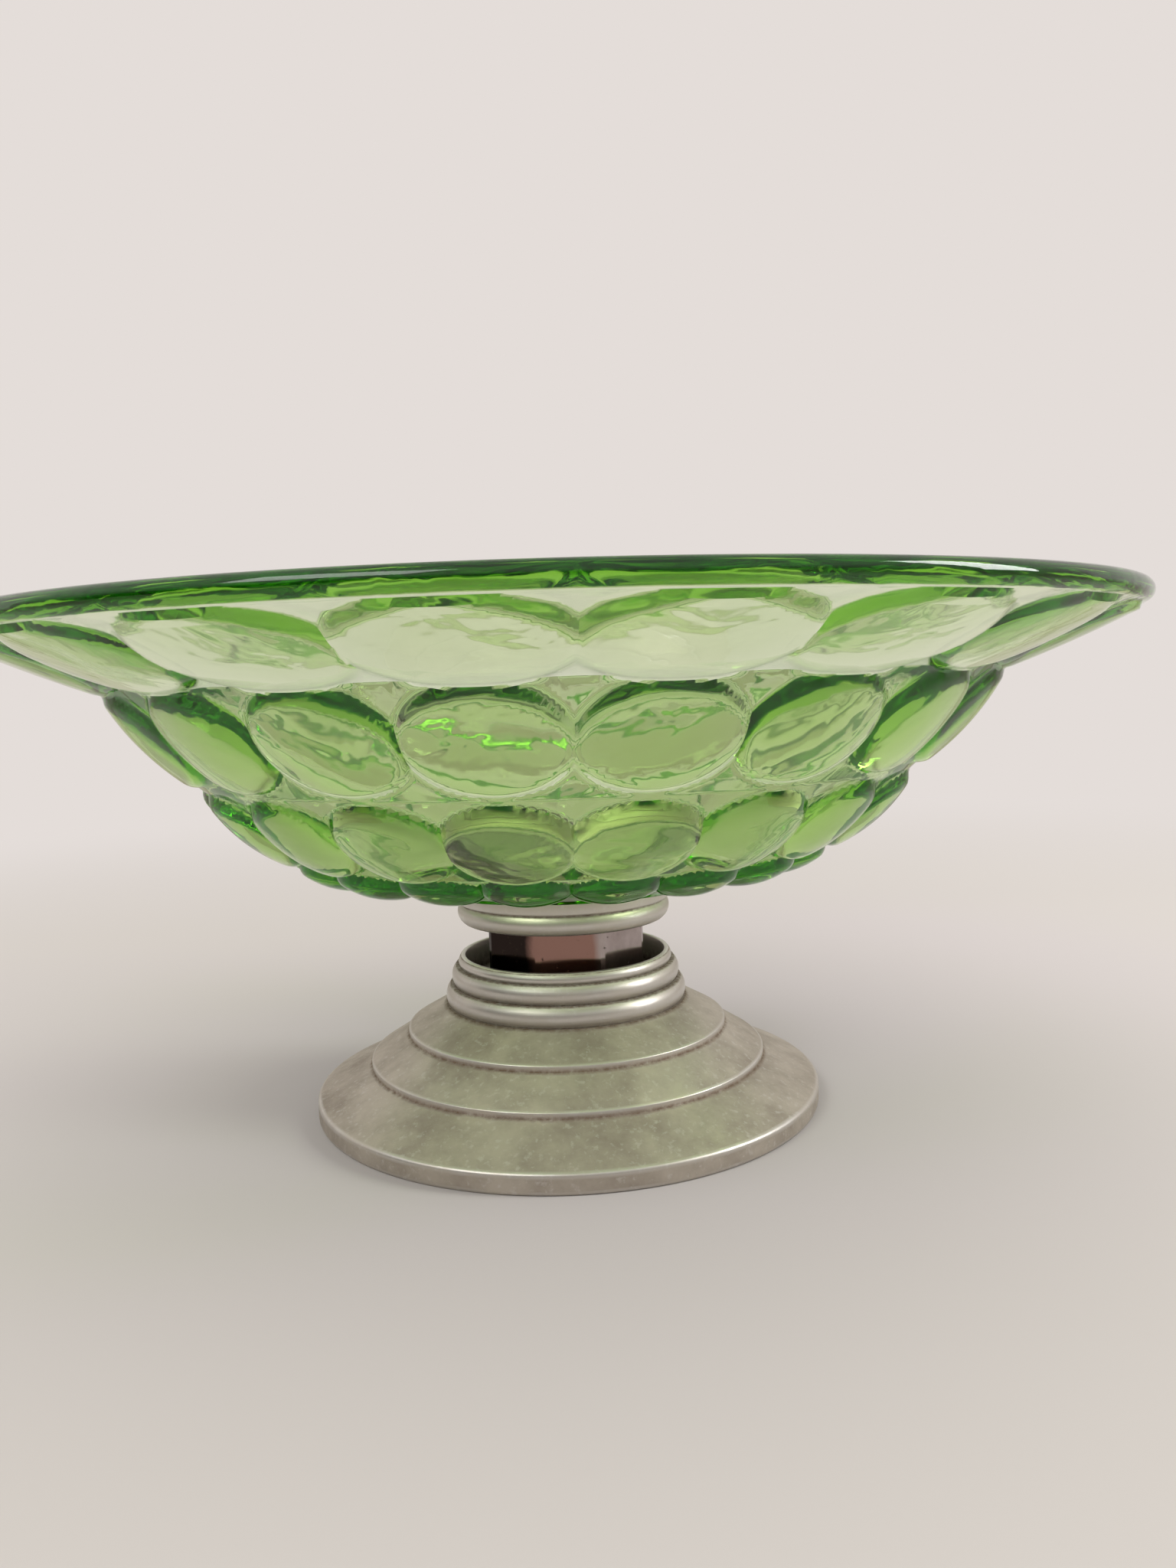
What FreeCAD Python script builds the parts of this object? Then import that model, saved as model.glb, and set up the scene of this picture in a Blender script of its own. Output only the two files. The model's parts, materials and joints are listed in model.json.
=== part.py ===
import FreeCAD, Part
import math
import os
import Sketcher

# Footed fruit bowl: a pressed glass bowl with four rows of round lenses, bolted through its floor
# to a turned aluminium foot. The origin is on the table under the bowl's axis, +Z is up and the
# seam between two columns of lenses faces -Y. All lengths are in millimetres.

# Driving sizes. A radius is measured from the bowl's axis, and a height in a piece's own frame
# from that piece's underside.
SIZES = {
    # Glass bowl
    "bowl_height": 73.8,
    "lip_round": 2.6,
    "flare_width": 32.0,
    "waist_height": 55.0,
    "upper_width": 21.2,
    "belly_height": 30.6,
    "middle_width": 22.3,
    "lower_height": 10.6,
    "lower_width": 28.5,
    "heel_radius": 46.0,
    "heel_height": 0.4,
    "heel_ease": 3.0,
    "groove_depth": 1.1,
    "wall": 5.0,
    "floor_thickness": 8.0,
    "floor_bend": 58.0,
    "flare_bend": 45.0,
    "columns": 20.0,
    "flare_lens_inset": 5.5,
    "flare_lens_drop": 7.2,
    "flare_lens_rise": 0.4,
    "flare_lens_ball": 103.0,
    "flare_lens_root": 1.75,
    "upper_lens_rise": 2.2,
    "upper_lens_ball": 37.0,
    "upper_lens_root": 2.0,
    "middle_lens_rise": 3.0,
    "middle_lens_ball": 22.0,
    "middle_lens_root": 1.95,
    "lower_lens_rise": 3.0,
    "lower_lens_ball": 14.5,
    "lower_lens_root": 1.5,
    "lower_lens_inset": 11.5,
    "lower_lens_lift": 4.1,
    "glass_bore": 5.0,
    # Tie bolt and its fasteners
    "bolt_radius": 4.0,
    "bolt_chamfer": 0.6,
    "bolt_clearance": 0.4,
    "bolt_below_nut": 1.0,
    "head_radius": 9.0,
    "head_edge": 1.0,
    "head_round": 10.0,
    "head_crown": 3.0,
    "head_height": 4.2,
    "nut_flats": 13.0,
    "nut_height": 6.5,
    "top_washer_radius": 14.0,
    "top_washer": 1.6,
    "upper_seal_radius": 15.5,
    "upper_seal": 1.2,
    "lower_seal_radius": 26.5,
    "lower_seal": 1.0,
    "base_washer_radius": 11.0,
    "base_washer": 1.6,
    "lock_washer_radius": 7.4,
    "lock_washer": 2.0,
    "lock_washer_gap": 1.2,
    "washer_edge": 0.3,
    # Collar under the glass
    "collar_height": 10.0,
    "collar_foot_radius": 28.3,
    "collar_bead_round": 3.4,
    "collar_groove_height": 5.0,
    "collar_groove_depth": 1.0,
    "collar_groove_width": 0.5,
    "collar_radius": 29.8,
    "collar_edge": 0.6,
    # Octagonal neck
    "neck_flats": 42.5,
    "neck_height": 17.0,
    "neck_corner": 0.8,
    "neck_turn": 2.0,
    # Beaded ring that holds the neck in its recess
    "ring_floor": 6.1,
    "ring_height": 13.5,
    "ring_foot_radius": 32.9,
    "ring_low_bead": 5.5,
    "ring_low_round": 4.2,
    "ring_mid_radius": 31.2,
    "ring_mid_bead": 10.6,
    "ring_mid_round": 3.8,
    "ring_top_radius": 29.7,
    "ring_top_round": 2.6,
    "ring_taper": 0.5,
    "ring_lip": 1.7,
    # Stepped foot
    "foot_radius": 70.0,
    "foot_edge": 5.1,
    "foot_ease": 0.7,
    "lower_tier_radius": 55.0,
    "lower_tier_height": 12.4,
    "upper_tier_radius": 44.5,
    "upper_tier_height": 20.4,
    "tier_step": 1.5,
    "foot_top_radius": 33.7,
    "foot_height": 27.9,
    "foot_land": 7.0,
    "hollow_edge": 2.5,
    "roof_radius": 26.0,
    "roof_height": 23.6,
    "boss_radius": 13.0,
    "boss_height": 14.0,
}

MIDDLE = "axis"
FLOOR = "floor"

# Radii of the notches between the rows of lenses, and of the rim, each a sum of the widths inside it
LOWER = "heel_radius + lower_width"
BELLY = LOWER + " + middle_width"
WAIST = BELLY + " + upper_width"
RIM = WAIST + " + flare_width"


def make_sheet(doc):
    """Puts every driving size in a cell of its own, named by its alias."""
    sheet = doc.addObject("Spreadsheet::Sheet", "sizes")
    for row, (name, number) in enumerate(SIZES.items(), start=1):
        sheet.set("A%d" % row, name)
        sheet.set("B%d" % row, str(number))
        sheet.setAlias("B%d" % row, name)
    doc.recompute()
    return sheet


def measure(sheet, formula):
    """Number for a sum or difference of named sizes, such as foot_radius - foot_edge."""
    total = 0.0
    sign = 1.0
    for word in formula.split():
        if word == "-":
            sign = -1.0
        elif word == "+":
            sign = 1.0
        elif word not in (MIDDLE, FLOOR):
            total += sign * getattr(sheet, word)
    return total


def bound(formula):
    """The same sum or difference as an expression on the sheet."""
    return " ".join(word if word in "+-" else "sizes." + word for word in formula.split())


def make_body(doc, label, height):
    """A body of its own for one piece, lifted by a sum of sizes."""
    body = doc.addObject("PartDesign::Body", label)
    body.Label = label
    if height != FLOOR:
        body.setExpression("Placement.Base.z", bound(height))
    return body


def origin_part(body, role):
    """One of the body's own origin planes or axes."""
    return [part for part in body.Origin.OriginFeatures if part.Role == role][0]


def make_sketch(body, name, role):
    """An empty sketch on one of the body's own origin planes."""
    sketch = body.newObject("Sketcher::SketchObject", name)
    sketch.AttachmentSupport = [(origin_part(body, role), "")]
    sketch.MapMode = "FlatFace"
    return sketch


def tie(sketch, kind, places, number, expression, name):
    """A dimension of the sketch that follows the sheet."""
    index = sketch.addConstraint(Sketcher.Constraint(kind, *places, number))
    sketch.renameConstraint(index, name)
    sketch.setExpression("Constraints." + name, expression)


def pin_corner(sheet, sketch, side, end, across, up, name):
    """Holds one end of a side at a named radius and height."""
    if across == MIDDLE:
        sketch.addConstraint(Sketcher.Constraint("PointOnObject", side, end, -2))
    else:
        tie(sketch, "DistanceX", (-1, 1, side, end), measure(sheet, across), bound(across), name + "_across")
    if up == FLOOR:
        sketch.addConstraint(Sketcher.Constraint("PointOnObject", side, end, -1))
    else:
        tie(sketch, "DistanceY", (-1, 1, side, end), measure(sheet, up), bound(up), name + "_up")


def vector(across, up):
    return FreeCAD.Vector(across, up, 0)


def bulged_side(start, end, radius):
    """Arc from start to end that bulges to the right of the way it runs."""
    chord = end.sub(start)
    middle = start.add(end).multiply(0.5)
    right = vector(chord.y, -chord.x).normalize()
    depth = math.sqrt(radius ** 2 - (chord.Length / 2) ** 2)
    centre = middle.sub(right * depth)
    crest = centre.add(right * radius)
    return Part.Arc(start, crest, end)


def draw_profile(sheet, sketch, corners):
    """Closed outline, anticlockwise, whose corners are (radius, height) or (radius, height, bulge).

    The side after a corner is straight, or an outward arc of the radius that the bulge names.
    """
    points = [vector(measure(sheet, corner[0]), measure(sheet, corner[1])) for corner in corners]
    count = len(corners)
    for index, corner in enumerate(corners):
        start = points[index]
        end = points[(index + 1) % count]
        if len(corner) == 3:
            sketch.addGeometry(bulged_side(start, end, measure(sheet, corner[2])))
        else:
            sketch.addGeometry(Part.LineSegment(start, end))
    for index, corner in enumerate(corners):
        following = (index + 1) % count
        sketch.addConstraint(Sketcher.Constraint("Coincident", index, 2, following, 1))
        pin_corner(sheet, sketch, index, 1, corner[0], corner[1], "corner%d" % index)
        if len(corner) == 3:
            tie(sketch, "Radius", (index,), measure(sheet, corner[2]), bound(corner[2]), "bulge%d" % index)


def turn(body, sketch, name):
    """Revolves a profile once round the body's upright axis."""
    solid = body.newObject("PartDesign::Revolution", name)
    solid.Profile = sketch
    solid.ReferenceAxis = (sketch, ["V_Axis"])
    solid.Angle = 360.0
    sketch.Document.recompute()
    return solid


def turned_piece(doc, sheet, label, height, corners):
    """A piece that is turned whole from one profile."""
    body = make_body(doc, label, height)
    sketch = make_sketch(body, label + "_profile", "XZ_Plane")
    draw_profile(sheet, sketch, corners)
    turn(body, sketch, label + "_turned")
    return body


def draw_polygon(sketch, sides, flats, formula):
    """Regular polygon round the origin, flat side down, with a named size across its flats."""
    radius = flats / 2 / math.cos(math.pi / sides)
    first = -math.pi / 2 - math.pi / sides
    points = []
    for index in range(sides):
        angle = first + index * 2 * math.pi / sides
        points.append(vector(radius * math.cos(angle), radius * math.sin(angle)))
    for index in range(sides):
        sketch.addGeometry(Part.LineSegment(points[index], points[(index + 1) % sides]))
    circle = sketch.addGeometry(Part.Circle(vector(0, 0), FreeCAD.Vector(0, 0, 1), radius))
    sketch.toggleConstruction(circle)
    sketch.addConstraint(Sketcher.Constraint("Coincident", circle, 3, -1, 1))
    sketch.addConstraint(Sketcher.Constraint("Horizontal", 0))
    for index in range(sides):
        following = (index + 1) % sides
        sketch.addConstraint(Sketcher.Constraint("Coincident", index, 2, following, 1))
        sketch.addConstraint(Sketcher.Constraint("PointOnObject", index, 1, circle))
        if index:
            sketch.addConstraint(Sketcher.Constraint("Equal", 0, index))
    tie(sketch, "DistanceY", (0, 1, -1, 1), flats / 2, "sizes.%s / 2" % formula, "half_flats")


def pad(body, sketch, name, length):
    """Raises a flat outline to a named height."""
    solid = body.newObject("PartDesign::Pad", name)
    solid.Profile = sketch
    solid.setExpression("Length", bound(length))
    sketch.Document.recompute()
    return solid


def bore(body, sheet, name, formula):
    """Round hole right through a piece on its upright axis."""
    sketch = make_sketch(body, name + "_circle", "XY_Plane")
    circle = sketch.addGeometry(Part.Circle(vector(0, 0), FreeCAD.Vector(0, 0, 1), measure(sheet, formula)))
    sketch.addConstraint(Sketcher.Constraint("Coincident", circle, 3, -1, 1))
    tie(sketch, "Radius", (circle,), measure(sheet, formula), bound(formula), "bore_radius")
    before = body.Shape.Volume
    hole = body.newObject("PartDesign::Pocket", name)
    hole.Profile = sketch
    hole.Type = "ThroughAll"
    hole.Midplane = True
    body.Document.recompute()
    check_cut(hole, before)
    return hole


def check_cut(feature, before):
    """Stops if a cut took nothing away."""
    if not feature.Shape.Volume < before:
        raise RuntimeError(feature.Name + " cuts nothing")


def upright_edges(shape):
    """Names of the straight edges that run along Z."""
    names = []
    for number, edge in enumerate(shape.Edges, start=1):
        start = edge.Vertexes[0].Point
        end = edge.Vertexes[-1].Point
        level = math.hypot(start.x - end.x, start.y - end.y)
        if isinstance(edge.Curve, Part.Line) and level < 0.01:
            names.append("Edge%d" % number)
    return names


def dress(body, kind, name, edges, prop, formula):
    """A fillet or a chamfer of a named size on some edges of the body's last feature."""
    feature = body.newObject("PartDesign::" + kind, name)
    feature.Base = (feature.BaseFeature, edges)
    feature.setExpression(prop, bound(formula))
    body.Document.recompute()
    return feature


def draw_arc(sketch, centre, radius, first, last):
    """Arc that runs anticlockwise from one angle to another."""
    circle = Part.Circle(centre, FreeCAD.Vector(0, 0, 1), radius)
    return sketch.addGeometry(Part.ArcOfCircle(circle, first, last))


def draw_wall(sheet, sketch):
    """Section of the glass wall: outer side up to the lip, lip, and the smooth inner side down."""
    outer = [
        ("glass_bore", FLOOR),
        ("heel_radius - heel_ease", FLOOR),
        (LOWER, "lower_height + groove_depth"),
        (BELLY, "belly_height + groove_depth"),
        (WAIST, "waist_height + groove_depth"),
        (RIM + " - lip_round", "bowl_height - lip_round - lip_round"),
    ]
    points = [vector(measure(sheet, across), measure(sheet, up)) for across, up in outer]
    waist = vector(measure(sheet, WAIST), sheet.waist_height)
    lower = vector(measure(sheet, LOWER), sheet.lower_height)
    flare = math.atan2(points[5].y - waist.y, points[5].x - waist.x)
    steep = math.atan2(waist.y - lower.y, waist.x - lower.x)
    flare_way = vector(math.cos(flare), math.sin(flare))
    steep_way = vector(math.cos(steep), math.sin(steep))
    lip_centre = points[5].add(vector(0, sheet.lip_round))
    lip_top = lip_centre.add(vector(-flare_way.y, flare_way.x) * sheet.lip_round)
    inner = waist.add(vector(-steep_way.y, steep_way.x) * sheet.wall)
    # Where the inner flare, the inner wall and the floor would meet without their bends
    rise = lip_top.y - inner.y - math.tan(flare) * (lip_top.x - inner.x)
    reach = rise / (math.tan(steep) - math.tan(flare))
    shoulder = inner.add(vector(reach, reach * math.tan(steep)))
    knee = vector(inner.x - (inner.y - sheet.floor_thickness) / math.tan(steep), sheet.floor_thickness)
    shoulder_run = sheet.flare_bend * math.tan((steep - flare) / 2)
    knee_run = sheet.floor_bend * math.tan(steep / 2)
    flare_end = shoulder.add(flare_way * shoulder_run)
    wall_top = shoulder.sub(steep_way * shoulder_run)
    wall_foot = knee.add(steep_way * knee_run)
    floor_edge = knee.sub(vector(knee_run, 0))
    shoulder_centre = flare_end.add(vector(flare_way.y, -flare_way.x) * sheet.flare_bend)
    knee_centre = floor_edge.add(vector(0, sheet.floor_bend))
    inside = vector(sheet.glass_bore, sheet.floor_thickness)
    quarter = math.pi / 2
    for start, end in zip(points, points[1:]):
        sketch.addGeometry(Part.LineSegment(start, end))
    lip = draw_arc(sketch, lip_centre, sheet.lip_round, -quarter, flare + quarter)
    flare_side = sketch.addGeometry(Part.LineSegment(lip_top, flare_end))
    shoulder_arc = draw_arc(sketch, shoulder_centre, sheet.flare_bend, flare + quarter, steep + quarter)
    wall_side = sketch.addGeometry(Part.LineSegment(wall_top, wall_foot))
    knee_arc = draw_arc(sketch, knee_centre, sheet.floor_bend, -quarter, steep - quarter)
    floor_side = sketch.addGeometry(Part.LineSegment(floor_edge, inside))
    bore_side = sketch.addGeometry(Part.LineSegment(inside, points[0]))
    for index, (across, up) in enumerate(outer[:-1]):
        pin_corner(sheet, sketch, index, 1, across, up, "outer%d" % index)
        if index:
            sketch.addConstraint(Sketcher.Constraint("Coincident", index - 1, 2, index, 1))
    pin_corner(sheet, sketch, lip, 1, outer[-1][0], outer[-1][1], "lip_foot")
    sketch.addConstraint(Sketcher.Constraint("Coincident", lip - 1, 2, lip, 1))
    tie(sketch, "Radius", (lip,), sheet.lip_round, "sizes.lip_round", "lip")
    sketch.addConstraint(Sketcher.Constraint("Vertical", lip, 1, lip, 3))
    sketch.addConstraint(Sketcher.Constraint("Tangent", lip, 2, flare_side, 1))
    sketch.addConstraint(Sketcher.Constraint("Tangent", flare_side, 2, shoulder_arc, 1))
    sketch.addConstraint(Sketcher.Constraint("Tangent", shoulder_arc, 2, wall_side, 1))
    sketch.addConstraint(Sketcher.Constraint("Tangent", wall_side, 2, knee_arc, 2))
    sketch.addConstraint(Sketcher.Constraint("Tangent", knee_arc, 1, floor_side, 1))
    sketch.addConstraint(Sketcher.Constraint("Coincident", floor_side, 2, bore_side, 1))
    sketch.addConstraint(Sketcher.Constraint("Coincident", bore_side, 2, 0, 1))
    tie(sketch, "Radius", (shoulder_arc,), sheet.flare_bend, "sizes.flare_bend", "flare_bend")
    tie(sketch, "Radius", (knee_arc,), sheet.floor_bend, "sizes.floor_bend", "floor_bend")
    flare_guide = sketch.addGeometry(Part.LineSegment(waist, points[5]))
    steep_guide = sketch.addGeometry(Part.LineSegment(lower, waist))
    sketch.toggleConstruction(flare_guide)
    sketch.toggleConstruction(steep_guide)
    pin_corner(sheet, sketch, flare_guide, 1, WAIST, "waist_height", "waist")
    pin_corner(sheet, sketch, steep_guide, 1, LOWER, "lower_height", "lower")
    sketch.addConstraint(Sketcher.Constraint("Coincident", flare_guide, 2, lip, 1))
    sketch.addConstraint(Sketcher.Constraint("Coincident", steep_guide, 2, flare_guide, 1))
    sketch.addConstraint(Sketcher.Constraint("Parallel", flare_guide, flare_side))
    sketch.addConstraint(Sketcher.Constraint("Parallel", steep_guide, wall_side))
    tie(sketch, "Distance", (steep_guide, 2, wall_side), sheet.wall, "sizes.wall", "wall_thickness")
    tie(sketch, "DistanceY", (-1, 1, floor_side, 1), sheet.floor_thickness, "sizes.floor_thickness", "floor")
    sketch.addConstraint(Sketcher.Constraint("Horizontal", floor_side))
    sketch.addConstraint(Sketcher.Constraint("Vertical", bore_side))


def make_lens(body, sheet, row, below, above):
    """One lens of a row: a shallow ball cap whose flat back is sunk in the wall.

    Its section lies on a plane square to the line between the row's two notches and half way
    along it. The sketch's y axis points out of the glass, and is the axis that the cap is turned on.
    """
    low = vector(measure(sheet, below[0]), measure(sheet, below[1]))
    high = vector(measure(sheet, above[0]), measure(sheet, above[1]))
    middle = low.add(high).multiply(0.5)
    slope = math.degrees(math.atan2(high.y - low.y, high.x - low.x))
    rise = getattr(sheet, row + "_lens_rise")
    ball = getattr(sheet, row + "_lens_ball")
    low_across, low_up, high_across, high_up = [bound(place) for place in below + above]
    sketch = make_sketch(body, row + "_lens_section", "YZ_Plane")
    sketch.AttachmentOffset = FreeCAD.Placement(
        FreeCAD.Vector(0, middle.y, middle.x), FreeCAD.Rotation(FreeCAD.Vector(1, 0, 0), 180 - slope))
    sketch.setExpression("AttachmentOffset.Base.y", "((%s) + (%s)) / 2" % (low_up, high_up))
    sketch.setExpression("AttachmentOffset.Base.z", "((%s) + (%s)) / 2" % (low_across, high_across))
    sketch.setExpression("AttachmentOffset.Rotation.Angle", "180 deg - atan2((%s) - (%s); (%s) - (%s))" % (
        high_up, low_up, high_across, low_across))
    centre = vector(0, rise - ball)
    crest = vector(0, rise)
    root = getattr(sheet, row + "_lens_root")
    back = vector(0, -root)
    edge = vector(math.sqrt(ball ** 2 - (back.y - centre.y) ** 2), back.y)
    face = draw_arc(sketch, centre, ball, math.atan2(edge.y - centre.y, edge.x), math.pi / 2)
    axle = sketch.addGeometry(Part.LineSegment(crest, back))
    flat = sketch.addGeometry(Part.LineSegment(back, edge))
    for start, end in ((face, axle), (axle, flat), (flat, face)):
        sketch.addConstraint(Sketcher.Constraint("Coincident", start, 2, end, 1))
    sketch.addConstraint(Sketcher.Constraint("PointOnObject", face, 3, -2))
    sketch.addConstraint(Sketcher.Constraint("PointOnObject", axle, 1, -2))
    sketch.addConstraint(Sketcher.Constraint("PointOnObject", axle, 2, -2))
    sketch.addConstraint(Sketcher.Constraint("Horizontal", flat))
    tie(sketch, "Radius", (face,), ball, "sizes.%s_lens_ball" % row, "ball")
    tie(sketch, "DistanceY", (-1, 1, axle, 1), rise, "sizes.%s_lens_rise" % row, "rise")
    tie(sketch, "DistanceY", (axle, 2, -1, 1), root, "sizes.%s_lens_root" % row, "root")
    return turn(body, sketch, row + "_lens")


def make_glass_bowl(doc, sheet):
    """Pressed glass bowl: a turned wall, and a ring of lenses in each of four rows outside it."""
    body = make_body(doc, "glass_bowl", stack("glass"))
    section = make_sketch(body, "wall_section", "XZ_Plane")
    draw_wall(sheet, section)
    turn(body, section, "wall_turned")
    notches = [
        ("heel_radius + lower_lens_inset", "heel_height + lower_lens_lift"),
        (LOWER, "lower_height"),
        (BELLY, "belly_height"),
        (WAIST, "waist_height"),
        (RIM + " - flare_lens_inset", "bowl_height - flare_lens_drop"),
    ]
    rows = zip(("lower", "middle", "upper", "flare"), notches, notches[1:])
    lenses = [make_lens(body, sheet, row, below, above) for row, below, above in rows]
    doc.recompute()
    ring = body.newObject("PartDesign::PolarPattern", "lens_columns")
    ring.Originals = lenses
    ring.Axis = (origin_part(body, "Z_Axis"), [""])
    ring.Angle = 360.0
    ring.setExpression("Occurrences", "sizes.columns")
    body.Tip = ring
    # Half a column of turn puts a seam between two columns on -Y.
    body.setExpression("Placement.Rotation.Angle", "180 / sizes.columns - 90")
    body.Placement = FreeCAD.Placement(
        body.Placement.Base, FreeCAD.Rotation(FreeCAD.Vector(0, 0, 1), 180.0 / sheet.columns - 90.0))
    doc.recompute()
    return body


# Each piece stands on the sum of the heights below it.
STACK = {
    "ring": "foot_height",
    "neck": "foot_height + ring_floor",
    "collar": "foot_height + ring_floor + neck_height",
    "lower_seal": "foot_height + ring_floor + neck_height + collar_height",
    "glass": "foot_height + ring_floor + neck_height + collar_height + lower_seal",
}
STACK["upper_seal"] = STACK["glass"] + " + floor_thickness"
STACK["top_washer"] = STACK["upper_seal"] + " + upper_seal"
STACK["bolt_head"] = STACK["top_washer"] + " + top_washer"
STACK["base_washer"] = "boss_height - base_washer"
STACK["lock_washer"] = STACK["base_washer"] + " - lock_washer"
STACK["base_nut"] = STACK["lock_washer"] + " - nut_height"
STACK["bolt"] = STACK["base_nut"] + " - bolt_below_nut"


def stack(name):
    return STACK[name]


def make_foot(doc, sheet):
    """Stepped cone with two raised tiers, hollow below, with a boss for the tie bolt."""
    bore_radius = "bolt_radius + bolt_clearance"
    return turned_piece(doc, sheet, "foot", FLOOR, [
        ("foot_radius - foot_land", FLOOR),
        ("foot_radius - foot_ease", FLOOR),
        ("foot_radius", "foot_ease"),
        ("foot_radius", "foot_edge - foot_ease"),
        ("foot_radius - foot_ease", "foot_edge"),
        ("lower_tier_radius", "lower_tier_height"),
        ("lower_tier_radius", "lower_tier_height + tier_step"),
        ("upper_tier_radius", "upper_tier_height"),
        ("upper_tier_radius", "upper_tier_height + tier_step"),
        ("foot_top_radius", "foot_height"),
        (bore_radius, "foot_height"),
        (bore_radius, "boss_height"),
        ("boss_radius", "boss_height"),
        ("boss_radius", "roof_height"),
        ("roof_radius", "roof_height"),
        ("foot_radius - foot_land", "hollow_edge"),
    ])


def make_cup_ring(doc, sheet):
    """Three stacked beads round a recess that the neck stands in."""
    bore_radius = "bolt_radius + bolt_clearance"
    return turned_piece(doc, sheet, "cup_ring", stack("ring"), [
        (bore_radius, FLOOR),
        ("ring_foot_radius", FLOOR, "ring_low_round"),
        ("ring_foot_radius - ring_taper", "ring_low_bead"),
        ("ring_mid_radius", "ring_low_bead", "ring_mid_round"),
        ("ring_mid_radius - ring_taper", "ring_mid_bead"),
        ("ring_top_radius", "ring_mid_bead", "ring_top_round"),
        ("ring_top_radius - ring_taper", "ring_height"),
        ("ring_top_radius - ring_lip", "ring_height"),
        ("ring_top_radius - ring_lip", "ring_floor"),
        (bore_radius, "ring_floor"),
    ])


def make_neck(doc, sheet):
    """Octagonal prism with small flats on its corners, bored for the bolt."""
    body = make_body(doc, "neck", stack("neck"))
    sketch = make_sketch(body, "neck_octagon", "XY_Plane")
    draw_polygon(sketch, 8, sheet.neck_flats, "neck_flats")
    prism = pad(body, sketch, "neck_prism", "neck_height")
    dress(body, "Chamfer", "neck_corners", upright_edges(prism.Shape), "Size", "neck_corner")
    bore(body, sheet, "neck_bore", "bolt_radius + bolt_clearance")
    turned = FreeCAD.Rotation(FreeCAD.Vector(0, 0, 1), sheet.neck_turn)
    body.Placement = FreeCAD.Placement(body.Placement.Base, turned)
    body.setExpression("Placement.Rotation.Angle", "sizes.neck_turn")
    return body


def make_collar(doc, sheet):
    """Flanged disc that carries the glass, with one bead and a thin groove above it."""
    bore_radius = "bolt_radius + bolt_clearance"
    groove_radius = "collar_radius - collar_groove_depth"
    return turned_piece(doc, sheet, "collar", stack("collar"), [
        (bore_radius, FLOOR),
        ("collar_foot_radius", FLOOR, "collar_bead_round"),
        (groove_radius, "collar_groove_height"),
        (groove_radius, "collar_groove_height + collar_groove_width"),
        ("collar_radius", "collar_groove_height + collar_groove_width"),
        ("collar_radius", "collar_height - collar_edge"),
        ("collar_radius - collar_edge", "collar_height"),
        (bore_radius, "collar_height"),
    ])


def make_disc(doc, sheet, label, height, inner, outer, thickness):
    """Flat ring with eased rims, for a washer or a seal."""
    return turned_piece(doc, sheet, label, height, [
        (inner, FLOOR),
        (outer + " - washer_edge", FLOOR),
        (outer, "washer_edge"),
        (outer, thickness + " - washer_edge"),
        (outer + " - washer_edge", thickness),
        (inner, thickness),
    ])


def make_lock_washer(doc, sheet):
    """Split spring washer: a ring with a slot cut through one side."""
    body = make_disc(doc, sheet, "lock_washer", stack("lock_washer"), "bolt_radius + bolt_clearance",
                     "lock_washer_radius", "lock_washer")
    sketch = make_sketch(body, "lock_washer_slot_outline", "XY_Plane")
    half = sheet.lock_washer_gap / 2
    outer = sheet.lock_washer_radius
    corners = [vector(0, -half), vector(outer, -half), vector(outer, half), vector(0, half)]
    for index in range(4):
        sketch.addGeometry(Part.LineSegment(corners[index], corners[(index + 1) % 4]))
    for index in range(4):
        sketch.addConstraint(Sketcher.Constraint("Coincident", index, 2, (index + 1) % 4, 1))
    for index, kind in enumerate(("Horizontal", "Vertical", "Horizontal", "Vertical")):
        sketch.addConstraint(Sketcher.Constraint(kind, index))
    sketch.addConstraint(Sketcher.Constraint("Symmetric", 3, 1, 3, 2, -1, 1))
    tie(sketch, "DistanceX", (0, 1, 0, 2), outer, "sizes.lock_washer_radius", "slot_reach")
    tie(sketch, "DistanceY", (1, 1, 1, 2), 2 * half, "sizes.lock_washer_gap", "slot_width")
    before = body.Shape.Volume
    slot = body.newObject("PartDesign::Pocket", "lock_washer_slot")
    slot.Profile = sketch
    slot.Type = "ThroughAll"
    slot.Midplane = True
    doc.recompute()
    check_cut(slot, before)
    return body


def make_base_nut(doc, sheet):
    """Plain hexagon nut on the lower end of the bolt."""
    body = make_body(doc, "base_nut", stack("base_nut"))
    sketch = make_sketch(body, "base_nut_hexagon", "XY_Plane")
    draw_polygon(sketch, 6, sheet.nut_flats, "nut_flats")
    pad(body, sketch, "base_nut_prism", "nut_height")
    bore(body, sheet, "base_nut_bore", "bolt_radius")
    return body


def make_tie_bolt(doc, sheet):
    """Bolt that holds the stack together: a low domed head in the bowl, and its end under the foot."""
    below_boss = "base_washer + lock_washer + nut_height + bolt_below_nut"
    length = STACK["bolt_head"] + " - boss_height + " + below_boss
    return turned_piece(doc, sheet, "tie_bolt", stack("bolt"), [
        (MIDDLE, FLOOR),
        ("bolt_radius - bolt_chamfer", FLOOR),
        ("bolt_radius", "bolt_chamfer"),
        ("bolt_radius", length),
        ("head_radius", length),
        ("head_radius", length + " + head_edge", "head_round"),
        ("head_crown", length + " + head_height"),
        (MIDDLE, length + " + head_height"),
    ])


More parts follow.
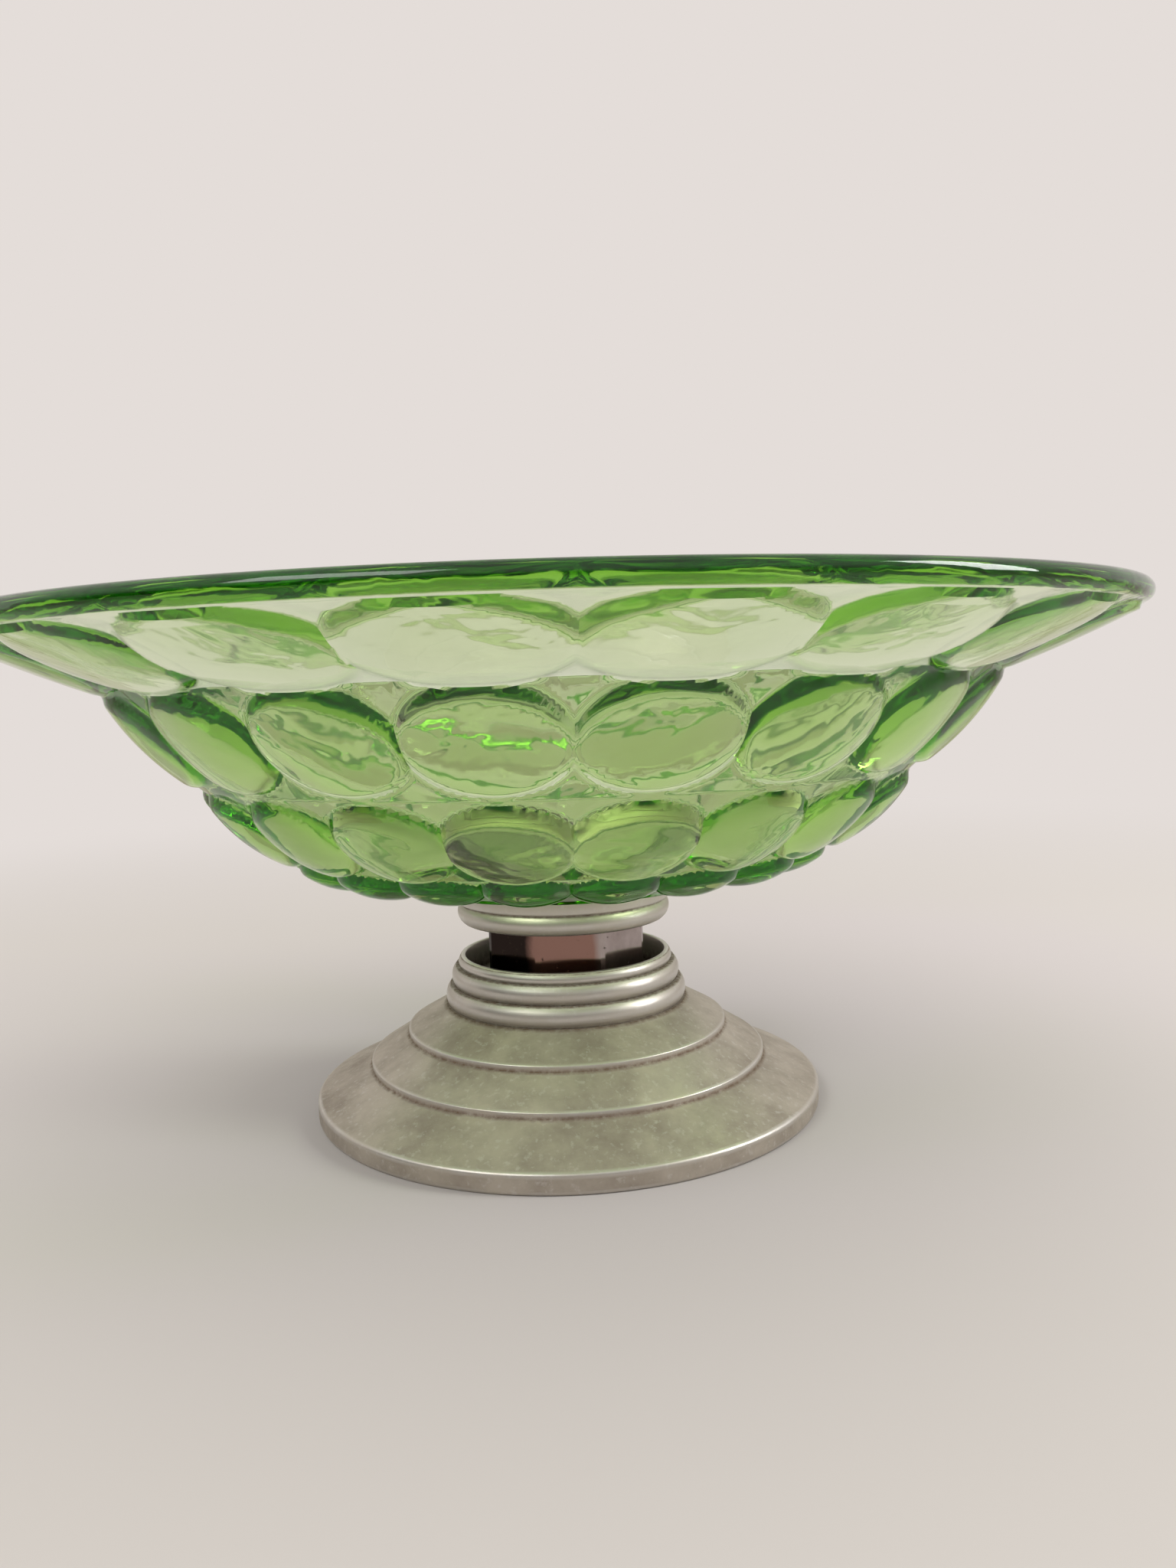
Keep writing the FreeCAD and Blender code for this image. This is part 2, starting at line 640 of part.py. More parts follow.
def make_discs(doc, sheet):
    """Seals and washers between the metal and the glass, and under the foot's boss."""
    loose = "bolt_radius + bolt_clearance"
    return [
        make_disc(doc, sheet, "lower_seal", stack("lower_seal"), loose, "lower_seal_radius", "lower_seal"),
        make_disc(doc, sheet, "upper_seal", stack("upper_seal"), loose, "upper_seal_radius", "upper_seal"),
        make_disc(doc, sheet, "top_washer", stack("top_washer"), loose, "top_washer_radius", "top_washer"),
        make_disc(doc, sheet, "base_washer", stack("base_washer"), loose, "base_washer_radius", "base_washer"),
    ]


def check_document(doc, pieces):
    """Stops if any feature failed or any piece isn't one valid solid."""
    for item in doc.Objects:
        if "Invalid" in item.State or "Error" in item.State:
            raise RuntimeError(item.Name + " failed: " + str(item.State))
    for piece in pieces:
        shape = piece.Shape
        if shape.isNull() or not shape.isValid() or len(shape.Solids) != 1:
            raise RuntimeError(piece.Label + " is not one valid solid")


def main():
    doc = FreeCAD.newDocument("footed_bowl")
    sheet = make_sheet(doc)
    pieces = [
        make_foot(doc, sheet),
        make_cup_ring(doc, sheet),
        make_neck(doc, sheet),
        make_collar(doc, sheet),
        make_glass_bowl(doc, sheet),
        make_lock_washer(doc, sheet),
        make_base_nut(doc, sheet),
        make_tie_bolt(doc, sheet),
    ]
    pieces += make_discs(doc, sheet)
    doc.recompute()
    check_document(doc, pieces)
    os.makedirs("parts", exist_ok=True)
    for piece in pieces:
        piece.Shape.exportStep("parts/" + piece.Label + ".step")
        box = piece.Shape.BoundBox
        print("%-12s volume %10.1f  z %.2f to %.2f" % (piece.Label, piece.Shape.Volume, box.ZMin, box.ZMax))


main()
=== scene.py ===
"""Footed fruit bowl of green pressed glass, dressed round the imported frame.

Every object is in metres in the frame's own axes: the origin is on the floor under the bowl's
axis, +Z is up, and the photograph looks along +Y.
"""
import json
import math

import bmesh
import bpy
from mathutils import Matrix, Vector


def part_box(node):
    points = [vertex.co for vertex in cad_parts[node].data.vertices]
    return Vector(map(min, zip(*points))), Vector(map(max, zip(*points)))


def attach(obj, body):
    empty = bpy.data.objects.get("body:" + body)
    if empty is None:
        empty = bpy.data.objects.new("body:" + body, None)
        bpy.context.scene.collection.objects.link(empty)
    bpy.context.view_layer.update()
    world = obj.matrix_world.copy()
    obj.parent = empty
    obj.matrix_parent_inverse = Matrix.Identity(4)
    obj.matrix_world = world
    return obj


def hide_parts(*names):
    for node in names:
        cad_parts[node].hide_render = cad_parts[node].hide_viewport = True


bl_info = {
    "name": "Footed Glass Bowl",
    "version": (1, 0, 0),
    "blender": (4, 5, 0),
    "location": "3D View > Sidebar > Bowl",
    "description": "Builds a pressed glass fruit bowl on a turned aluminium foot",
    "category": "Add Mesh",
}

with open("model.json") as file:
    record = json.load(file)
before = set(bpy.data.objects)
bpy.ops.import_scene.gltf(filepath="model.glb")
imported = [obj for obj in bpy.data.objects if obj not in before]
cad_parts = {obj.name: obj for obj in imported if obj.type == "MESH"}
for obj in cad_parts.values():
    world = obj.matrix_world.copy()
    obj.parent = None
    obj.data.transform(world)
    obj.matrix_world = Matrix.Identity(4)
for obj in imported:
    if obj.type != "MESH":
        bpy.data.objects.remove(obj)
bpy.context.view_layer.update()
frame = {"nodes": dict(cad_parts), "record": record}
MM = 0.001
# The middle of the bowl, at which the lamps point.
LAMP_TARGET = Vector((0, 0, 0.08))

# Outer side of the glass between its rows of lenses, as (radius, height) in millimetres from the
# heel up. Two neighbouring rows meet at each of these notches.
NOTCHES = [(46.0, 62.4), (74.5, 72.6), (96.8, 92.6), (118.0, 117.0), (144.5, 128.6)]
ROW_LENGTHS = [
    (Vector(after) - Vector(before)).length for before, after in zip(NOTCHES, NOTCHES[1:])]
FLARE_END = (147.8, 129.7)
LIP_MIDDLE = (147.4, 133.2)
LIP_ROUND = 2.6
FLARE_SLOPE = math.radians(24.8)
# Inner side from the lip down to the floor: (radius, height, bend radius).
INNER_SIDE = [(114.99, 121.07, 45.0), (64.95, 70.0, 58.0)]
# A hair of air lies between the glass and its seals, so that they don't darken it from inside.
GLASS_FLOOR = 69.95
GLASS_UNDERSIDE = 62.05
GLASS_BORE = 5.0
GLASS_FOOT_RADIUS = 43.0
# The glass between four lenses lies this far inside the line through the notches.
SPANDREL_DEPTH = 1.0
# Seams between lenses are filled in over this height, in millimetres.
SEAM_BLEND = 0.5
# Near a notch the outward normal turns from one row's to the next row's over this length.
NORMAL_BLEND = 6.0
# Mesh steps across one column, and up each row.
ACROSS_STEPS = 30
UP_STEPS = 27
# Edges that fold more than this stay sharp in the glass and in the turned metal.
GLASS_CREASE = math.radians(24)
METAL_CREASE = math.radians(50)

# Lenses of each row from the heel up, in millimetres. half_wide and half_high are the oval crown,
# lift moves it up the row, rise is how far it stands out of the line through the notches, sag is
# the crown's own radius, shoulder the radius that it rolls off with and steepest the slope at
# which that roll stops.
LENS_ROWS = [
    {"half_wide": 9.1, "half_high": 7.0, "lift": 5.6, "rise": 3.2, "sag": 22.0, "shoulder": 2.0,
     "steepest": 1.4},
    {"half_wide": 12.8, "half_high": 11.0, "lift": -0.6, "rise": 3.3, "sag": 42.0, "shoulder": 2.6,
     "steepest": 0.95},
    {"half_wide": 15.8, "half_high": 12.6, "lift": 0.8, "rise": 2.5, "sag": 64.0, "shoulder": 2.8,
     "steepest": 0.85},
    {"half_wide": 19.6, "half_high": 14.4, "lift": 1.2, "rise": 0.9, "sag": 300.0, "shoulder": 7.0,
     "steepest": 0.4},
]


def srgb(code):
    """Linear colour for a hex colour as a screen shows it."""
    channels = []
    for start in (1, 3, 5):
        part = int(code[start:start + 2], 16) / 255
        channels.append(part / 12.92 if part <= 0.04045 else ((part + 0.055) / 1.055) ** 2.4)
    return (*channels, 1.0)


def per_mm(size):
    """Texture scale that makes one feature this many millimetres across."""
    return 1 / (size * MM)


def add_node(tree, kind, inputs=None, **settings):
    """Adds a node with its settings, and fills its inputs with values or with links."""
    node = tree.nodes.new(kind)
    for name, value in settings.items():
        setattr(node, name, value)
    for socket, value in (inputs or {}).items():
        if isinstance(value, bpy.types.NodeSocket):
            tree.links.new(value, node.inputs[socket])
        else:
            node.inputs[socket].default_value = value
    return node


def new_material(name):
    """An empty node material and its tree."""
    material = bpy.data.materials.new(name)
    material.use_nodes = True
    material.node_tree.nodes.clear()
    return material, material.node_tree


class GlassSettings(bpy.types.PropertyGroup):
    """Sizes and colour of the pressed glass bowl"""

    columns: bpy.props.IntProperty(
        name="Columns", description="Lenses round the bowl in each row", default=20, min=6, max=40)
    rim_radius: bpy.props.FloatProperty(
        name="Rim radius", description="From the axis to the outside of the lip",
        default=min(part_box("glass_bowl")[1][:2]),
        unit="LENGTH", subtype="DISTANCE")
    deep_colour: bpy.props.FloatVectorProperty(
        name="Absorbed light", description="Colour that the glass lets through as it gets thicker",
        default=srgb("#C2EC40")[:3], size=3, subtype="COLOR")
    density: bpy.props.FloatProperty(
        name="Depth of colour", description="Absorption for each metre of glass", default=68.0)
    ripple: bpy.props.FloatProperty(
        name="Ripple", description="Height of the slow waves that pressing leaves",
        default=0.00005, unit="LENGTH", subtype="DISTANCE", precision=5)


class MetalSettings(bpy.types.PropertyGroup):
    """Colours and edges of the turned aluminium and the steel"""

    segments: bpy.props.IntProperty(
        name="Segments", description="Steps round each turned piece", default=180, min=48, max=360)
    oxide: bpy.props.FloatVectorProperty(
        name="Oxidised metal", description="Dull skin on the foot's cones",
        default=srgb("#BDB4A6")[:3], size=3, subtype="COLOR")
    oxide_dark: bpy.props.FloatVectorProperty(
        name="Stained metal", description="Darker blotches in that skin",
        default=srgb("#9C9184")[:3], size=3, subtype="COLOR")
    bright: bpy.props.FloatVectorProperty(
        name="Bare metal", description="Edges and beads that handling keeps bright",
        default=srgb("#D3D0CA")[:3], size=3, subtype="COLOR")
    grime: bpy.props.FloatVectorProperty(
        name="Grime", description="Brown dirt in the corners between the steps",
        default=srgb("#6E5740")[:3], size=3, subtype="COLOR")
    chrome: bpy.props.FloatVectorProperty(
        name="Chrome", description="Plating on the neck, the bolt and its washer",
        default=srgb("#A89E9C")[:3], size=3, subtype="COLOR")


class StageSettings(bpy.types.PropertyGroup):
    """Camera, floor and light"""

    distance: bpy.props.FloatProperty(
        name="Camera distance", description="From the camera to the bowl's axis, level",
        default=0.3300, unit="LENGTH", subtype="DISTANCE")
    height: bpy.props.FloatProperty(
        name="Camera height", description="Camera above the floor", default=0.1174,
        unit="LENGTH", subtype="DISTANCE")
    yaw: bpy.props.FloatProperty(
        name="Yaw", description="Camera turned to its right", default=math.radians(1.39),
        unit="ROTATION", subtype="ANGLE")
    pitch: bpy.props.FloatProperty(
        name="Pitch", description="Camera tipped down", default=math.radians(5.13),
        unit="ROTATION", subtype="ANGLE")
    roll: bpy.props.FloatProperty(
        name="Roll", description="Camera turned about its own axis", default=math.radians(1.8),
        unit="ROTATION", subtype="ANGLE")
    orbit: bpy.props.FloatProperty(
        name="Orbit", description="Camera moved to its left round the bowl",
        default=math.radians(1.7), unit="ROTATION", subtype="ANGLE")
    lens: bpy.props.FloatProperty(
        name="Lens", description="Focal length on a 36 mm picture height", default=27.2,
        unit="CAMERA")
    backdrop: bpy.props.FloatVectorProperty(
        name="Backdrop", description="Pale wall behind the bowl", default=srgb("#E4DDD9")[:3],
        size=3, subtype="COLOR")
    unlit: bpy.props.FloatVectorProperty(
        name="Unlit room", description="Far end of the room that metal and glass mirror",
        default=srgb("#2E2520")[:3], size=3, subtype="COLOR")
    half_lit: bpy.props.FloatVectorProperty(
        name="Half lit room", description="The same room towards its window, at the right",
        default=srgb("#9C938D")[:3], size=3, subtype="COLOR")
    surround: bpy.props.FloatVectorProperty(
        name="Surround", description="Wall behind the bowl as glass and metal show it",
        default=srgb("#DDD5CB")[:3], size=3, subtype="COLOR")
    far_floor: bpy.props.FloatVectorProperty(
        name="Far floor", description="Floor away from the bowl as glass and metal show it",
        default=srgb("#A89C90")[:3], size=3, subtype="COLOR")
    floor: bpy.props.FloatVectorProperty(
        name="Floor", description="Pale floor that the bowl stands on", default=srgb("#DAD4CE")[:3],
        size=3, subtype="COLOR")
    ambient: bpy.props.FloatProperty(
        name="Ambient", description="Even light from the whole room", default=0.62)
    ceiling: bpy.props.FloatProperty(
        name="Ceiling", description="Strength at which glass shows the ceiling", default=1.15)
    dim_ceiling: bpy.props.FloatProperty(
        name="Mirrored ceiling", description="Strength at which gloss and metal show the ceiling",
        default=0.7)
    card_distance: bpy.props.FloatProperty(
        name="Card distance", description="From the bowl's axis to the card that the glass shows",
        default=0.26, unit="LENGTH", subtype="DISTANCE")
    key: bpy.props.FloatProperty(
        name="Key light", description="Large soft lamp at the front left", default=8.5,
        unit="POWER")
    side: bpy.props.FloatProperty(
        name="Side light", description="Window-like lamp at the right", default=10.0, unit="POWER")


# Profiles

def arc_points(centre, radius, start, sweep, count):
    """Points along an arc, both ends included."""
    points = []
    for step in range(count + 1):
        angle = start + sweep * step / count
        points.append((centre[0] + radius * math.cos(angle), centre[1] + radius * math.sin(angle)))
    return points


def rounded_corner(before, corner, after, radius, pitch):
    """Arc that rounds the corner between two straight runs, as points about pitch apart."""
    corner_at = Vector(corner)
    to_before = (Vector(before) - corner_at).normalized()
    to_after = (Vector(after) - corner_at).normalized()
    half = to_before.angle(to_after) / 2
    reach = radius / math.tan(half)
    centre = corner_at + (to_before + to_after).normalized() * (radius / math.sin(half))
    start = corner_at + to_before * reach - centre
    end = corner_at + to_after * reach - centre
    sweep = start.angle_signed(end)
    count = max(2, math.ceil(abs(sweep) * radius / pitch))
    first = math.atan2(start.y, start.x)
    return arc_points(centre, radius, first, -sweep, count)


def eased(position):
    """Spreads even steps from -1 to 1 so that they bunch towards both ends."""
    return 0.5 * position + 0.5 * math.sin(position * math.pi / 2)


def shoulder_drop(distance, radius, steepest):
    """How far a lens has rolled off at this distance outside its crown."""
    if distance <= 0:
        return 0.0
    straight = radius * steepest
    if distance < straight:
        return distance * distance / (2 * radius)
    return straight * steepest / 2 + (distance - straight) * steepest


def lens_height(lens, across, up):
    """Height of one lens over the line through the notches, at a place measured from its crown."""
    wide, high = lens["half_wide"], lens["half_high"]
    ratio = math.hypot(across / wide, up / high)
    reach = math.hypot(across, up)
    outside = reach * (1 - 1 / ratio) if ratio > 1 else 0.0
    crown = (across * across + up * up) / (2 * lens["sag"])
    return lens["rise"] - crown - shoulder_drop(outside, lens["shoulder"], lens["steepest"])


def soft_max(first, second, blend):
    """The larger of two heights, with the step between them filled in over blend."""
    overlap = max(blend - abs(first - second), 0.0) / blend
    return max(first, second) + overlap * overlap * blend / 4


def outer_stations():
    """Places along the outer side: base point, outward normal and length run, from the heel up."""
    corners = [Vector(notch) for notch in NOTCHES] + [Vector(FLARE_END)]
    stations = []
    run = 0.0
    ways = [(after - before).normalized() for before, after in zip(corners, corners[1:])]
    for index, (before, after) in enumerate(zip(corners, corners[1:])):
        length = (after - before).length
        in_row = index < len(LENS_ROWS)
        count = UP_STEPS if in_row else 3
        for step in range(count):
            share = (eased(2 * step / count - 1) + 1) / 2 if in_row else step / count
            here = before.lerp(after, share)
            low_turn = max(0.0, 0.5 - share * length / NORMAL_BLEND) if index else 0.0
            high_turn = 0.0
            if index < len(ways) - 1:
                high_turn = max(0.0, 0.5 - (1 - share) * length / NORMAL_BLEND)
            way = ways[index].copy()
            if low_turn:
                way = way.lerp(ways[index - 1], low_turn)
            if high_turn:
                way = way.lerp(ways[index + 1], high_turn)
            way.normalize()
            stations.append((here, Vector((way.y, -way.x)), run + share * length))
        run += length
    return stations


def pressed_height(run, radius, angle, half_turn):
    """Height of the pressed side over the line through the notches, at one place of a column."""
    best = -math.inf
    start = 0.0
    for lens, length in zip(LENS_ROWS, ROW_LENGTHS):
        up = run - (start + length / 2 + lens["lift"])
        for column in (-1, 0, 1):
            across = radius * (angle - column * 2 * half_turn)
            best = max(best, lens_height(lens, across, up))
        start += length
    return soft_max(best, -SPANDREL_DEPTH, SEAM_BLEND)


def glass_wedge(settings):
    """One column of the bowl as an open wedge: pressed outside, lip, smooth inside and foot."""
    half_turn = math.pi / settings.columns
    fit = settings.rim_radius / MM / (LIP_MIDDLE[0] + LIP_ROUND)
    stations = outer_stations()
    lip = arc_points(LIP_MIDDLE, LIP_ROUND, -math.pi / 2, FLARE_SLOPE + math.pi, 10)
    inner = smooth_inside(lip[-1])
    bore = [(GLASS_BORE, GLASS_FLOOR), (GLASS_BORE, GLASS_UNDERSIDE)]
    underside = [(radius, GLASS_UNDERSIDE) for radius in (15.0, 29.0, GLASS_FOOT_RADIUS)]
    smooth = lip + inner + bore + underside
    mesh = bmesh.new()
    grid = []
    for column in range(ACROSS_STEPS + 1):
        angle = half_turn * eased(2 * column / ACROSS_STEPS - 1)
        turn = (math.cos(angle), math.sin(angle))
        line = []
        for base, normal, run in stations:
            height = pressed_height(run, base.x, angle, half_turn)
            line.append((
                base.x + normal.x * height, max(base.y + normal.y * height, GLASS_UNDERSIDE)))
        grid.append([
            mesh.verts.new((r * turn[0] * fit * MM, r * turn[1] * fit * MM, z * MM))
            for r, z in line + smooth])
    for left, right in zip(grid, grid[1:]):
        join_sides(mesh, left, right)
    return mesh


def join_sides(mesh, left, right):
    """Faces between two copies of a closed outline."""
    for index in range(len(left)):
        following = (index + 1) % len(left)
        mesh.faces.new((left[index], right[index], right[following], left[following]))


def points_between(start, end, count):
    """Points that cut a straight run into count parts, both ends left out."""
    return [tuple(Vector(start).lerp(Vector(end), step / count)) for step in range(1, count)]


def smooth_inside(lip_end):
    """Inner side from the end of the lip down to the bore."""
    flare, wall = INNER_SIDE
    flare_arc = rounded_corner(lip_end, flare[:2], wall[:2], flare[2], 2.5)
    wall_arc = rounded_corner(flare[:2], wall[:2], (GLASS_BORE, GLASS_FLOOR), wall[2], 3.0)
    floor = [(radius, GLASS_FLOOR) for radius in (28.0, 15.0)]
    return [
        *points_between(lip_end, flare_arc[0], 7), *flare_arc,
        *points_between(flare_arc[-1], wall_arc[0], 5), *wall_arc, *floor]


# Repeats one wedge all the way round

def repeat_tree(name, sharp_angle):
    """Geometry nodes that copy a wedge round the axis and join the copies into one closed mesh."""
    tree = bpy.data.node_groups.new(name, "GeometryNodeTree")
    face = tree.interface
    face.new_socket(name="Wedge", in_out="INPUT", socket_type="NodeSocketGeometry")
    for label, kind, value in (
            ("Copies", "NodeSocketInt", 20), ("First turn", "NodeSocketFloat", 0.0),
            ("Join within", "NodeSocketFloat", 0.01 * MM), ("Finish", "NodeSocketMaterial", None)):
        socket = face.new_socket(name=label, in_out="INPUT", socket_type=kind)
        if value is not None:
            socket.default_value = value
    face.new_socket(name="Whole", in_out="OUTPUT", socket_type="NodeSocketGeometry")
    given = add_node(tree, "NodeGroupInput").outputs
    points = add_node(tree, "GeometryNodePoints", {"Count": given["Copies"]})
    step = add_node(
        tree, "ShaderNodeMath", {0: 2 * math.pi, 1: given["Copies"]}, operation="DIVIDE")
    index = add_node(tree, "GeometryNodeInputIndex")
    angle = add_node(
        tree, "ShaderNodeMath", {0: index.outputs[0], 1: step.outputs[0], 2: given["First turn"]},
        operation="MULTIPLY_ADD")
    turn = add_node(tree, "ShaderNodeCombineXYZ", {"Z": angle.outputs[0]})
    copies = add_node(tree, "GeometryNodeInstanceOnPoints", {
        "Points": points.outputs[0], "Instance": given["Wedge"], "Rotation": turn.outputs[0]})
    real = add_node(tree, "GeometryNodeRealizeInstances", {"Geometry": copies.outputs[0]})
    joined = add_node(tree, "GeometryNodeMergeByDistance", {
        "Geometry": real.outputs[0], "Distance": given["Join within"]})
    smooth = add_node(tree, "GeometryNodeSetShadeSmooth", {
        "Geometry": joined.outputs[0], "Shade Smooth": True}, domain="FACE")
    fold = add_node(tree, "GeometryNodeInputMeshEdgeAngle")
    creased = add_node(tree, "FunctionNodeCompare", {0: fold.outputs[0], 1: sharp_angle},
                       data_type="FLOAT", operation="GREATER_THAN")
    edges = add_node(tree, "GeometryNodeSetShadeSmooth", {
        "Geometry": smooth.outputs[0], "Selection": creased.outputs[0], "Shade Smooth": False},
        domain="EDGE")
    finish = add_node(tree, "GeometryNodeSetMaterial", {
        "Geometry": edges.outputs[0], "Material": given["Finish"]})
    add_node(tree, "NodeGroupOutput", {0: finish.outputs[0]})
    return tree


def repeat_round(name, wedge, copies, first_turn, material, sharp_angle):
    """Turns a wedge into a whole piece with geometry nodes and leaves it a plain closed mesh."""
    start = bpy.data.meshes.new(name)
    wedge.to_mesh(start)
    wedge.free()
    piece = bpy.data.objects.new(name, start)
    bpy.context.scene.collection.objects.link(piece)
    modifier = piece.modifiers.new("Repeat", "NODES")
    modifier.node_group = repeat_tree(name + "_repeat", sharp_angle)
    values = {"Copies": copies, "First turn": first_turn, "Finish": material}
    for socket in modifier.node_group.interface.items_tree:
        if socket.in_out == "INPUT" and socket.name in values:
            modifier[socket.identifier] = values[socket.name]
    whole = bpy.data.meshes.new_from_object(
        piece.evaluated_get(bpy.context.evaluated_depsgraph_get()))
    piece.modifiers.clear()
    piece.data = whole
    whole.name = name
    bpy.data.meshes.remove(start)
    outwards = bmesh.new()
    outwards.from_mesh(whole)
    bmesh.ops.recalc_face_normals(outwards, faces=outwards.faces)
    open_edges = [edge for edge in outwards.edges if len(edge.link_faces) != 2]
    outwards.to_mesh(whole)
    outwards.free()
    if open_edges:
        raise RuntimeError("%s has %d open edges" % (name, len(open_edges)))
    return piece


# Turned aluminium pieces

# Radius of the bolt's bore, top of the foot and underside of the collar, in millimetres.
BORE = 4.4
FOOT_TOP = 27.9
COLLAR_BASE = 51.0
# Runs longer than this get points of their own, the first one this far from the edge.
LONG_RUN = 4.0
EDGE_FADE = 0.9
# Corners of the foot from the inside of its hollow round to the boss: radius, height, rounding,
# then how worn and how grimy the corner is, from 0 to 1.
FOOT_CORNERS = [
    (63.0, 0.0, 0.4, 0.3, 0.0),
    (70.0, 0.0, 0.9, 0.6, 0.2),
    (70.0, 5.1, 0.9, 0.75, 0.0),
    (55.0, 12.4, 0.15, 0.0, 1.0),
    (55.0, 13.9, 0.35, 0.8, 0.0),
    (44.5, 20.4, 0.15, 0.0, 1.0),
    (44.5, 21.9, 0.35, 0.8, 0.0),
    (33.7, FOOT_TOP, 0.3, 0.0, 1.0),
    (BORE, FOOT_TOP, 0.0, 0.0, 0.5),
    (BORE, 14.0, 0.0, 0.0, 0.5),
    (13.0, 14.0, 0.4, 0.4, 0.2),
    (13.0, 23.6, 0.6, 0.0, 0.8),
    (26.0, 23.6, 1.5, 0.0, 0.5),
    (63.0, 2.5, 0.8, 0.0, 0.6),
]


def bead_points(low, high, radius):
    """Arc from the foot of a bead to its top that bulges outwards."""
    start, end = Vector(low), Vector(high)
    chord = end - start
    right = Vector((chord.y, -chord.x)).normalized()
    centre = (start + end) / 2 - right * math.sqrt(radius ** 2 - (chord.length / 2) ** 2)
    first = math.atan2(start.y - centre.y, start.x - centre.x)
    last = math.atan2(end.y - centre.y, end.x - centre.x)
    return arc_points(centre, radius, first, last - first, 10)


def turned_outline(corners):
    """Closed outline with every corner rounded, as (radius, height, worn, grimy) points.

    A corner is (radius, height, rounding, worn, grimy). Long runs get a point near each end, so
    that the wear and the grime fade within a millimetre or two of the edge.
    """
    outline = []
    for index, (radius, height, rounding, worn, grimy) in enumerate(corners):
        before = corners[index - 1][:2]
        following = corners[(index + 1) % len(corners)]
        after, (next_rounding, next_worn, next_grimy) = following[:2], following[2:]
        here = (radius, height)
        if rounding:
            bend = rounded_corner(before, here, after, rounding, rounding / 2)
        else:
            bend = [here]
        outline += [(*point, worn, grimy) for point in bend]
        way = Vector(after) - Vector(here)
        end = Vector(after) - way.normalized() * next_rounding
        start = Vector(bend[-1])
        if way.length > LONG_RUN:
            fade = EDGE_FADE / way.length
            near, far = start.lerp(end, fade), start.lerp(end, 1 - fade)
            outline.append((*near, worn * 0.35, grimy * 0.4))
            steps = max(2, round(way.length / 2.5))
            outline += [(*point, 0.0, 0.0) for point in points_between(near, far, steps)]
            outline.append((*far, next_worn * 0.35, next_grimy * 0.4))
    return outline


def turned_wedge(outline, segments):
    """One step of a turned piece, with its wear, grime and run stored on the points."""
    mesh = bmesh.new()
    layers = [mesh.verts.layers.float.new(name) for name in ("wear", "grime", "run")]
    half = math.pi / segments
    sides = []
    for angle in (-half, half):
        side = []
        run = 0.0
        last = None
        for radius, height, worn, grimy in outline:
            if last:
                run += math.hypot(radius - last[0], height - last[1])
            last = (radius, height)
            vert = mesh.verts.new((
                radius * math.cos(angle) * MM, radius * math.sin(angle) * MM, height * MM))
            for layer, value in zip(layers, (worn, grimy, run)):
                vert[layer] = value
            side.append(vert)
        sides.append(side)
    join_sides(mesh, *sides)
    return mesh


def lift_points(points, worn, grimy):
    """Points of a bead with its foot grimy and its crest worn."""
    last = len(points) - 1
    made = []
    for index, point in enumerate(points):
        crest = math.sin(math.pi * index / last)
        made.append((*point, worn * crest, grimy * (1 - crest) ** 3))
    return made


def ring_outline():
    """Three stacked beads round the recess that holds the neck."""
    base = FOOT_TOP
    outline = [(BORE, base, 0.0, 0.5), (20.0, base, 0.0, 0.5)]
    outline += lift_points(bead_points((32.9, base), (32.4, base + 5.5), 4.2), 0.8, 1.0)
    outline += lift_points(bead_points((31.2, base + 5.5), (30.7, base + 10.6), 3.8), 0.8, 1.0)
    outline += lift_points(bead_points((29.7, base + 10.6), (29.35, base + 13.1), 2.2), 0.9, 1.0)
    outline += [
        (29.15, base + 13.35, 1.0, 0.0), (28.85, base + 13.5, 1.0, 0.0),
        (28.35, base + 13.5, 1.0, 0.0), (28.1, base + 13.4, 0.8, 0.0),
        (28.0, base + 13.15, 0.5, 0.0), (28.0, base + 10.0, 0.0, 0.4),
        (28.0, base + 6.1, 0.0, 1.0), (26.0, base + 6.1, 0.0, 0.8),
        (20.0, base + 6.1, 0.0, 0.5), (BORE, base + 6.1, 0.0, 0.5),
    ]
    return outline


def collar_outline():
    """Flanged disc under the glass, with a bead and a thin groove over it."""
    base = COLLAR_BASE
    outline = [(BORE, base, 0.0, 0.4), (18.0, base, 0.0, 0.3), (27.5, base, 0.0, 0.3)]
    outline += lift_points(bead_points((28.3, base), (28.8, base + 5.0), 3.4), 0.8, 0.7)
    outline += [
        (28.8, base + 5.5, 0.0, 1.0), (29.5, base + 5.52, 0.4, 0.4), (29.75, base + 5.7, 0.9, 0.0),
        (29.8, base + 6.0, 0.7, 0.0), (29.8, base + 9.3, 0.4, 0.0), (29.65, base + 9.75, 0.9, 0.0),
        (29.2, base + 10.0, 0.6, 0.0), (26.0, base + 10.0, 0.0, 0.3), (BORE, base + 10.0, 0.0, 0.3),
    ]
    return outline


# Materials

